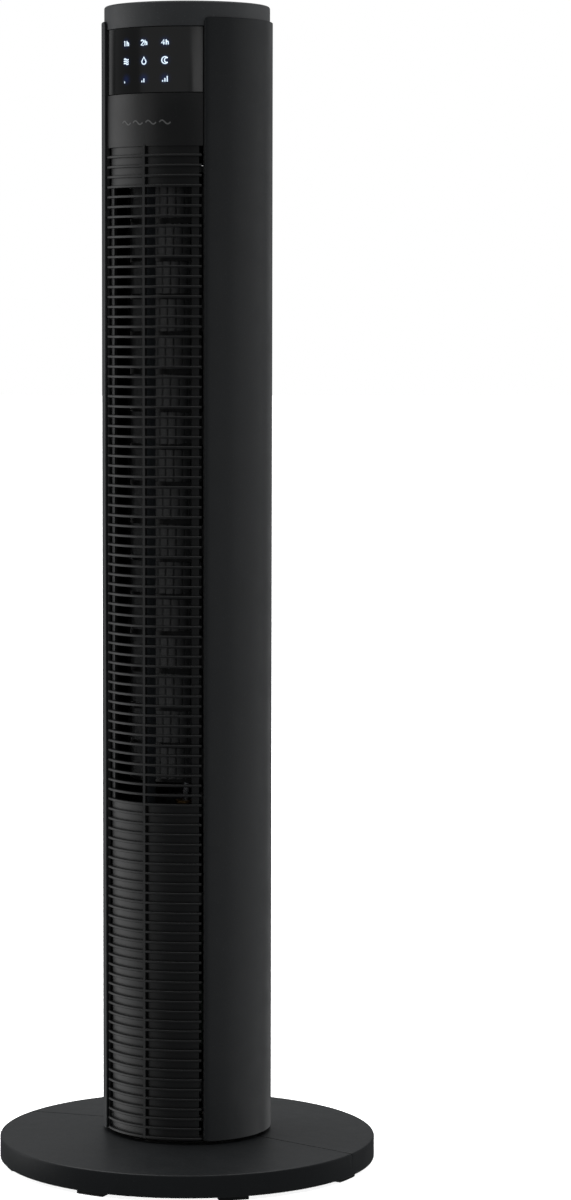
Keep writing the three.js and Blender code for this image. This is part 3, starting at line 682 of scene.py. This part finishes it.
def build_casings():
    for side, name in ((-1, "left"), (1, "right")):
        edges = sorted((side * PANEL_FRONT_EDGE, side * PANEL_REAR_EDGE))
        inner = BODY_RADIUS + GAP
        panel = curved_panel(inner, PANEL_RADIUS, *edges, PANEL_LOW, PANEL_TOP, 4.0, 0.6, 64)
        piece(f"smooth_panel_{name}", panel, "column", PANEL, f"side_panel_{name}", sharp=28)
    walls = []
    for side in (-1, 1):
        edges = sorted((side * 42.2, side * 89.75))
        walls.append(curved_panel(INNER_RADIUS, BODY_RADIUS, *edges, CASING_LOW, CASING_HIGH, 0.6, 0.4, 40))
    lintel = curved_panel(PLATE_RADIUS - 2.4, INNER_RADIUS + 0.2, -43.4, 43.4, 935, CASING_HIGH, 0.4, 0.2, 40)
    shell = union(together(*walls), lintel)
    for low, high in ((70, 80), (225, 235)):
        bridge = curved_panel(60.2, 62.2, -46.2, 46.2, low, high, 0.4, 0.2, 40)
        ears = [
            curved_panel(60.4, INNER_RADIUS + 0.4, start, start + 3, low + 0.2, high - 0.2, 0.3, 0.2, 4)
            for start in (-46.2, 43.2)
        ]
        shell = union(shell, union(bridge, *ears))
    piece("front_shell", shell, "column", SATIN, "front_casing", sharp=28)


def build_rear():
    low, joint = (corner.z for corner in corners("rear_casing"))
    wall = curved_panel(INNER_RADIUS, BODY_RADIUS, 90.25, 269.75, low, joint, 0.6, 0.4, 90)
    step = 179.5 / 30
    height = (WHEEL_HIGH - WHEEL_LOW - 18) / 3
    slots = []
    for column in range(7, 23):
        angle = 90.25 + (column + 0.5) * step
        for tier in range(3):
            middle = WHEEL_LOW + height / 2 + tier * (height + 9)
            outline = rounded_outline(-1.7, middle - height / 2, 1.7, middle + height / 2, 1.69, 6)
            slots.append(moved(plaque(outline, -80, -60), Matrix.Rotation(radians(angle), 4, "Z")))
    holes = [rod(1.8, polar(55, a, z), polar(75, a, z), 20) for a, z in CASING_SCREWS]
    shell = cut(cut(wall, *slots), *holes)
    piece("rear_shell", shell, "column", SATIN, "rear_casing", (0.35, 2, 50), sharp=30)

    low, high = (corner.z for corner in corners("handle_cover"))
    wall = curved_panel(INNER_RADIUS, BODY_RADIUS, 90.25, 269.75, low, high, 0.6, 0.4, 90)
    reach = INNER_RADIUS + 0.6
    within = turned([(0, 700), (reach, 700), (reach, 950), (0, 950)], 180)
    scoop = common(plaque(rounded_outline(-40, 840, 40, 882, 10), 32, 80), within)
    cover = cut(union(wall, scoop), plaque(rounded_outline(-38, 842, 38, 880, 8), 34, 90))
    piece("scoop_cover", cover, "column", SATIN, "handle_cover", (0.5, 3, 50), sharp=30)
    for i, (angle, z) in enumerate(CASING_SCREWS):
        outline = [(0, 56), (1.4, 56), (1.4, BODY_RADIUS + GAP), (3, BODY_RADIUS + GAP), (3, BODY_RADIUS + 1),
                   (2.5, BODY_RADIUS + 1.6), (1.4, BODY_RADIUS + 1.8), (0, BODY_RADIUS + 1.8)]
        head = BODY_RADIUS + 0.9
        cross = union(box((-1.8, -0.3, head), (1.8, 0.3, head + 3)),
                      box((-0.3, -1.8, head), (0.3, 1.8, head + 3)))
        screw = cut(turned(outline, 32), cross)
        outward = Vector(polar(1, angle)).to_track_quat("Z", "Y").to_matrix().to_4x4()
        screw = moved(screw, Matrix.Translation((0, 0, z)) @ outward)
        piece(f"shell_screw_{i + 1}", screw, "column", ZINC, f"casing_screw_{i + 1}", sharp=30)


# ---------------------------------------------------------------- signs


def ribbon(points, width, thick, place, closed=False):
    """A stroke of the given width along 2D points, as a thin closed solid put in place by a function."""
    count = len(points)
    sides = []
    for i, (x, y) in enumerate(points):
        before = points[i - 1] if i or closed else points[i]
        after = points[(i + 1) % count] if i < count - 1 or closed else points[i]
        dx, dy = after[0] - before[0], after[1] - before[1]
        size = sqrt(dx * dx + dy * dy) or 1.0
        nx, ny = -dy / size * width / 2, dx / size * width / 2
        sides.append(((x + nx, y + ny), (x - nx, y - ny)))
    verts = []
    for left, right in sides:
        verts += [place(*left, 0), place(*right, 0), place(*right, thick), place(*left, thick)]
    faces = []
    for i in range(count if closed else count - 1):
        a, b = 4 * i, 4 * ((i + 1) % count)
        faces += [[a + k, a + (k + 1) % 4, b + (k + 1) % 4, b + k] for k in range(4)]
    if not closed:
        faces += [[0, 1, 2, 3], [4 * count - 4 + k for k in range(4)]]
    return verts, faces


def on_front(angle, height, radius):
    """Places a sign on the upright cylinder, thickness outwards."""
    return lambda x, y, t: polar(radius + t, angle + degrees(x / radius), height + y)


def on_top(cx, cy, height):
    return lambda x, y, t: (cx + x, cy + y, height + t)


def wave_line(width, swing, count=24, turns=1.5):
    parts = [i / count for i in range(count + 1)]
    return [(-width / 2 + width * part, swing * sin(2 * pi * turns * part)) for part in parts]


def one_mark():
    return [[(-0.7, 1.5), (0, 2.2), (0, -2.2)]]


def two_mark():
    return [arc_points(0, 1.0, 1.2, 170, -30, 8) + [(-1.2, -2.1), (1.4, -2.1)]]


def four_mark():
    return [[(0.6, -2.2), (0.6, 2.2), (-1.5, -0.8), (1.4, -0.8)]]


def h_mark():
    return [[(-0.9, 2.2), (-0.9, -2.2)], [(-0.9, -0.3), *arc_points(0, -0.3, 0.9, 150, 0, 6), (0.9, -2.2)]]


def shifted(strokes, dx, dy=0.0, size=1.0):
    return [[(x * size + dx, y * size + dy) for x, y in line] for line in strokes]


def signs():
    """The nine indicators: (column, row, strokes); a stroke that ends where it starts is closed."""
    drop = [(0, 3.0), *arc_points(0, -0.9, 1.9, 150, 390, 18), (0, 3.0)]
    moon = arc_points(0, 0, 2.7, 40, 320, 20) + arc_points(1.5, 0, 1.9, -68, -292, 16)
    moon.append(moon[0])
    breeze = [[(x, y + dy) for x, y in wave_line(5.4, 0.55, 16, 1.0)] for dy in (-1.7, 0, 1.7)]
    bars = [[(-1.9 + 1.9 * i, -2.3), (-1.9 + 1.9 * i, -0.9 + 1.6 * i)] for i in range(3)]
    hour = shifted(h_mark(), 1.9, 0, 0.95)
    hours = [shifted(mark(), -1.5, 0, 0.95) + hour for mark in (one_mark, two_mark, four_mark)]
    return [
        *((column, 2, hours[column + 1]) for column in (-1, 0, 1)),
        (-1, 1, breeze),
        (0, 1, [drop]),
        (1, 1, [moon]),
        *((column, 0, bars[: column + 2]) for column in (-1, 0, 1)),
    ]


def strokes_shape(strokes, width, thick, place):
    shapes = []
    for line in strokes:
        closed = len(line) > 3 and line[0] == line[-1]
        shapes.append(ribbon(line[:-1] if closed else line, width, thick, place, closed))
    return together(*shapes)


def build_window():
    window = curved_panel(BODY_RADIUS - 2, BODY_RADIUS, -42, 42, WINDOW_LOW, WINDOW_HIGH, 0.8, 0.4, 60)
    piece("dark_window", window, "column", GLOSS, "display_window", sharp=28)
    cores, halos = [], []
    for column, row, strokes in signs():
        angle, height = MARK_TURN * column, MARK_HEIGHTS[row]
        cores.append(strokes_shape(strokes, 0.55, 0.05, on_front(angle, height, BODY_RADIUS + 0.05)))
        halos.append(strokes_shape(strokes, 1.5, 0.03, on_front(angle, height, BODY_RADIUS + 0.01)))
    piece("indicator_marks", together(*cores), "column", LIT_CORE)
    piece("indicator_glow", together(*halos), "column", LIT_HALO)
    waves = [
        strokes_shape([wave_line(9.5, 1.5, 24, 1.0)], 1.1, 0.05, on_front(angle, 863, BODY_RADIUS + 0.01))
        for angle in (-15.5, -5.2, 5.2, 15.5)
    ]
    piece("wave_mark", together(*waves), "column", INK)


# ---------------------------------------------------------------- the top


def build_top():
    rim = arc_points(BODY_RADIUS - 1.8, HEIGHT - 1.8, 1.8, 0, 90, 8)
    lip = [(61.2, HEIGHT), (60.6, HEIGHT - 0.25), (60.2, PANEL_SURFACE + 0.3), (59.7, PANEL_SURFACE)]
    under = PANEL_SURFACE - 2.4
    outline = [(BODY_RADIUS - 0.4, CAP_LOW), (BODY_RADIUS, CAP_LOW + 0.4), *rim, *lip, (0, PANEL_SURFACE),
               (0, under), (INNER_RADIUS, under), (INNER_RADIUS, CAP_LOW)]
    wells = [rod(BUTTON_RADIUS + 2 * GAP, (x, y, 930), (x, y, 970), 48) for x, y in BUTTONS.values()]
    cap = cut(turned(outline, 160), *wells)
    piece("cap", cap, "column", CAP, "top_cap", (0.35, 2, 60), 28)
    ring = arc_points(0, 0, 2.6, 130, 410, 20)
    marks = {
        "power": [ring, [(0, 0.6), (0, 3.6)]],
        "speed": [[(-2.2 + 2.2 * i, -2.4), (-2.2 + 2.2 * i, -0.6 + 1.5 * i)] for i in range(3)],
        "mode": [[(x, y + dy) for x, y in wave_line(5.6, 0.6, 16, 1.0)] for dy in (-1.7, 0, 1.7)],
        "timer": [arc_points(0, 0, 2.9, 0, 360, 28), [(0, 1.8), (0, 0), (1.5, 0)]],
        "swing": [arc_points(0, -3, 4.6, 40, 140, 14), [(-2.4, 1.6), (-3.5, -0.1), (-1.6, -0.3)],
                  [(2.4, 1.6), (3.5, -0.1), (1.6, -0.3)]],
    }
    marks["timer"][0][-1] = marks["timer"][0][0]
    top = PANEL_SURFACE + 0.8
    under -= GAP
    for name, (x, y) in BUTTONS.items():
        radii = [BUTTON_RADIUS - 1.2 - i for i in range(6)]
        dish = [(radius, top - 0.28 + 0.28 * (radius / 6.3) ** 2) for radius in radii]
        outline = [(0, under - 1.2), (9, under - 1.2), (9, under), (BUTTON_RADIUS, under)]
        outline += arc_points(BUTTON_RADIUS - 0.7, top - 0.7, 0.7, 0, 90, 5) + dish + [(0, top - 0.28)]
        key = moved(turned(outline, 64), Matrix.Translation((x, y, 0)))
        piece(f"{name}_key", key, f"{name}_button", BUTTON, f"{name}_button", sharp=30)
        mark = strokes_shape(marks[name], 0.55, 0.3, on_top(x, y, top - 0.32))
        piece(f"{name}_mark", mark, f"{name}_button", BUTTON_INK)


# ---------------------------------------------------------------- air path and wheel


def spiral(start, end, first, last, steps, thickness=1.5):
    parts = [i / steps for i in range(steps + 1)]
    outside = [polar(first + (last - first) * part, start + (end - start) * part)[:2] for part in parts]
    inside = [polar(first + (last - first) * i / steps - thickness, start + (end - start) * i / steps)[:2]
              for i in range(steps + 1)]
    return outside + inside[::-1]


def blade_outline(angle):
    """One forward-curved blade of the cross-flow wheel in plan."""
    inner, outer, sweep, thick = 36.6, 47.0, -14.0, 0.45
    line = []
    for i in range(7):
        t = i / 6
        line.append(polar(inner + (outer - inner) * t, angle + sweep * t ** 1.7)[:2])
    left, right = [], []
    for i, (x, y) in enumerate(line):
        a, b = line[max(i - 1, 0)], line[min(i + 1, 6)]
        dx, dy = b[0] - a[0], b[1] - a[1]
        size = sqrt(dx * dx + dy * dy)
        width = thick * (1.15 - 0.6 * i / 6)
        left.append((x - dy / size * width, y + dx / size * width))
        right.append((x + dy / size * width, y - dx / size * width))
    return left + right[::-1]


def build_air_path():
    low, high = (corner.z for corner in corners("scroll_wall"))
    scroll = prism(spiral(43, 126, 63, 51, 48), low, high)
    piece("scroll", scroll, "column", DUCT, "scroll_wall", (0.3, 2, 50))
    tongue = prism(spiral(-43, -64, 63, 51, 16), low, high)
    piece("tongue", tongue, "column", DUCT, "tongue_wall", (0.3, 2, 50))

    sections, blades = 16, 42
    pitch = (WHEEL_HIGH - WHEEL_LOW) / sections
    shapes, rings = [], []
    for i in range(sections):
        start, end = WHEEL_LOW + i * pitch + 2.2, WHEEL_LOW + (i + 1) * pitch - 2.2
        for k in range(blades):
            shapes.append(prism(blade_outline(360 / blades * (k + 0.37 * (i % 3))), start, end))
    for i in range(sections + 1):
        z = min(max(WHEEL_LOW + i * pitch, WHEEL_LOW + 0.6), WHEEL_HIGH - 0.6)
        low, high = max(z - 2.3, WHEEL_LOW), min(z + 2.3, WHEEL_HIGH)
        end = i in (0, sections)
        inner = (4.3 if i == 0 else 3.3) if end else 37.4
        shapes.append(turned([(inner, z - 0.6), (45.5, z - 0.6), (45.5, z + 0.6), (inner, z + 0.6)], 96))
        band = [(45.8, low), (46.8, low), (47, low + 0.2), (47, high - 0.2), (46.8, high), (45.8, high)]
        rings.append(turned(band, 128))
        shapes.append(turned([(37.0, low), (38.6, low), (38.6, high), (37.0, high)], 96))
    for bore, start, end in ((4.3, WHEEL_LOW, WHEEL_LOW + 14), (3.3, WHEEL_HIGH - 14, WHEEL_HIGH)):
        shapes.append(turned([(bore, start), (8, start), (8, end), (bore, end)], 48))
    piece("cross_flow_wheel", union(*shapes), "impeller", WHEEL, "impeller", sharp=30)
    piece("wheel_bands", together(*rings), "impeller", RING, sharp=30)


# ---------------------------------------------------------------- CAD nodes that stay

CARRIED = {
    SATIN: ("upper_bearing_holder",),
    DUCT: ("swing_plate", "display_light_box", "motor_bracket"),
    RUBBER: ("bearing_bush",),
    GLOSS: ("run_capacitor",),
    SLIDE: ("thrust_ring", "fixed_gear", "pivot_bush", "swing_pinion"),
    ZINC: ("hub_clip", "swing_motor_bracket", "swing_motor", "motor_can"),
    STEEL: ("impeller_pin", "motor_rotor"),
    LAMINATED: ("motor_stator",),
    BRONZE: ("upper_bearing", "motor_bearing_lower", "motor_bearing_upper"),
    COPPER: ("motor_winding",),
    BOARD: ("button_board", "display_board", "main_board"),
}


def finish_carried():
    for material, names in CARRIED.items():
        for name in names:
            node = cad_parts[name]
            node.data.materials.clear()
            node.data.materials.append(material)


# ---------------------------------------------------------------- studio

CAMERA_TURN = 30.8  # degrees round from the front towards +X
CAMERA_DISTANCE, CAMERA_HEIGHT = 3.008, 0.7053
CAMERA_PITCH = 4.34
CAMERA_LENS = 108.7
CAMERA_SHIFT = (0.08195, -0.0058)


def aimed(obj, place, target):
    obj.location = place
    obj.rotation_mode = "QUATERNION"
    obj.rotation_quaternion = (Vector(target) - Vector(place)).to_track_quat("-Z", "Y")


def round_about(angle, distance, height):
    """A point round the column: angle is measured from the camera's side, positive to its right."""
    turn = radians(CAMERA_TURN + angle)
    return (distance * sin(turn), -distance * cos(turn), height)


def softbox(name, angle, distance, height, size, radiance, target=(0, 0, 0.5)):
    """A rectangular soft light of an even radiance, turned towards a point of the object."""
    light = bpy.data.lights.new(name, "AREA")
    light.shape, light.size, light.size_y = "RECTANGLE", size[0], size[1]
    light.energy = pi * size[0] * size[1] * radiance
    obj = bpy.data.objects.new(name, light)
    bpy.context.scene.collection.objects.link(obj)
    aimed(obj, round_about(angle, distance, height), target)
    obj.visible_camera = False
    return obj


def group(name, objects, state="INCLUDE"):
    """A light-linking group: the lights that use it reach only these objects, or all but these."""
    made = bpy.data.collections.new(name)
    for obj in objects:
        made.objects.link(obj)
    for member in made.collection_objects:
        member.light_linking.link_state = state
    return made


def only(light, *objects):
    light.light_linking.receiver_collection = group(f"{light.name}_only", objects)


def build_studio():
    scene = bpy.context.scene
    scene.view_settings.view_transform = "Standard"
    world = bpy.data.worlds.new("studio")
    scene.world = world
    world.use_nodes = True
    tree = world.node_tree
    shown = tree.nodes.new("ShaderNodeBackground")
    shown.inputs["Color"].default_value = (1, 1, 1, 1)
    shown.inputs["Strength"].default_value = 1.0
    around = tree.nodes["Background"]
    around.inputs["Color"].default_value = (0.95, 0.98, 1.0, 1)
    around.inputs["Strength"].default_value = 0.1
    path = tree.nodes.new("ShaderNodeLightPath")
    mix = tree.nodes.new("ShaderNodeMixShader")
    tree.links.new(path.outputs["Is Camera Ray"], mix.inputs[0])
    tree.links.new(around.outputs[0], mix.inputs[1])
    tree.links.new(shown.outputs[0], mix.inputs[2])
    tree.links.new(mix.outputs[0], tree.nodes["World Output"].inputs["Surface"])

    overhead = softbox("overhead", 0, 0.05, 3.2, (4.0, 4.0), 1.0, target=(0, 0, 0))
    base_top = softbox("base_top", -155, 1.1, 3.2, (4.0, 3.4), 1.32, target=(0, 0, 0))
    key = softbox("key_left", -102, 2.6, 0.3, (2.4, 3.8), 1.0)
    key_edge = softbox("key_edge", -62, 2.6, 0.3, (1.3, 3.8), 0.35)
    key_back = softbox("key_back", -142, 2.6, 0.3, (1.3, 3.8), 0.18)
    side = softbox("side_right", 94, 2.6, 0.3, (3.4, 3.8), 0.36)
    rim_right = softbox("rim_right", 148, 2.6, 0.3, (1.2, 3.8), 0.24)
    front = softbox("front_right", 38, 3.2, 0.3, (2.2, 3.8), 0.25)
    cap_right = softbox("cap_right", 112, 2.6, 0.9, (2.6, 2.6), 0.2)
    window_light = softbox("window_front", 15, 4.2, 1.2, (1.1, 2.6), 1.0, target=(0, 0, 0.9))
    window_fill = softbox("window_fill", -30, 3.0, 1.15, (4.7, 2.6), 0.19, target=(0, 0, 0.9))
    window_left = softbox("window_left", -58, 2.0, 1.1, (7.2, 2.6), 0.09, target=(0, 0, 0.9))
    window_edge = softbox("window_edge", -140, 2.6, 1.0, (1.2, 1.4), 0.35, target=(0, 0, 0.9))
    inner = softbox("inner_fill", 12, 3.4, 0.6, (1.6, 2.4), 1.0)
    base_left = softbox("base_left", -108, 2.6, 0.5, (2.0, 2.0), 0.5)
    base_right = softbox("base_right", 108, 2.6, 0.5, (2.0, 2.0), 0.09)
    base_back = softbox("base_back", -165, 3.2, 1.2, (4.0, 2.0), 0.05, target=(0, 0, 0))
    window = bpy.data.objects["dark_window"]
    wheel = bpy.data.objects["cross_flow_wheel"]
    base = [bpy.data.objects[name] for name in ("foot_front", "foot_rear")]
    only(cap_right, bpy.data.objects["cap"])
    for light in (window_light, window_fill, window_left, window_edge):
        only(light, window)
    bands, fin = bpy.data.objects["wheel_bands"], bpy.data.objects["outlet_fin"]
    only(inner, wheel, fin)
    glint = softbox("wheel_glint", -168, 3.0, 0.55, (1.3, 1.6), 3.0)
    only(glint, bands)
    glint.light_linking.blocker_collection = group("bands_alone", [bands])
    for light in (base_top, base_left, base_right, base_back):
        only(light, *base)
    for obj in base:
        obj.visible_glossy = False
    for light in (key, key_edge, key_back, side, rim_right, front):
        light.light_linking.receiver_collection = group("all_but_window_and_foot", (window, *base), "EXCLUDE")
    panels = [bpy.data.objects[name] for name in ("smooth_panel_left", "smooth_panel_right")]
    overhead.light_linking.receiver_collection = group("all_but_foot_and_panels", base + panels, "EXCLUDE")

    reach = 30000
    disc = turned([(0, -2), (reach, -2), (reach, 0), (0, 0)], 64)
    floor = bpy.data.objects.new("floor", as_mesh("floor", disc, MM))
    scene.collection.objects.link(floor)
    n = Nodes("pale_floor")
    n.colour(n.mix(n.spread(n.noise(3, 3), 0, 1), (0.9, 0.9, 0.9), (0.93, 0.93, 0.93)))
    n.set(Roughness=0.9, Specular_IOR_Level=0.0)
    floor.data.materials.append(n.material)
    floor.visible_diffuse = floor.visible_glossy = floor.visible_shadow = False
    sky = bpy.data.objects.new("floor_light", bpy.data.lights.new("floor_light", "SUN"))
    scene.collection.objects.link(sky)
    sky.data.energy, sky.data.angle = 1.0, radians(100)
    only(sky, floor)
    even = bpy.data.objects.new("floor_even_light", bpy.data.lights.new("floor_even_light", "SUN"))
    scene.collection.objects.link(even)
    even.data.energy, even.data.angle = 5.6, radians(100)
    only(even, floor)
    even.light_linking.blocker_collection = group("floor_alone", [floor])

    camera = bpy.data.objects.new("camera", bpy.data.cameras.new("camera"))
    scene.collection.objects.link(camera)
    camera.location = round_about(0, CAMERA_DISTANCE, CAMERA_HEIGHT)
    camera.rotation_euler = (radians(90 - CAMERA_PITCH), 0, radians(CAMERA_TURN))
    camera.data.sensor_fit = "AUTO"
    camera.data.sensor_width = 36
    camera.data.lens = CAMERA_LENS
    camera.data.shift_x, camera.data.shift_y = CAMERA_SHIFT
    scene.camera = camera


build_foot()
build_front()
build_casings()
build_rear()
build_window()
build_top()
build_air_path()
finish_carried()
build_studio()
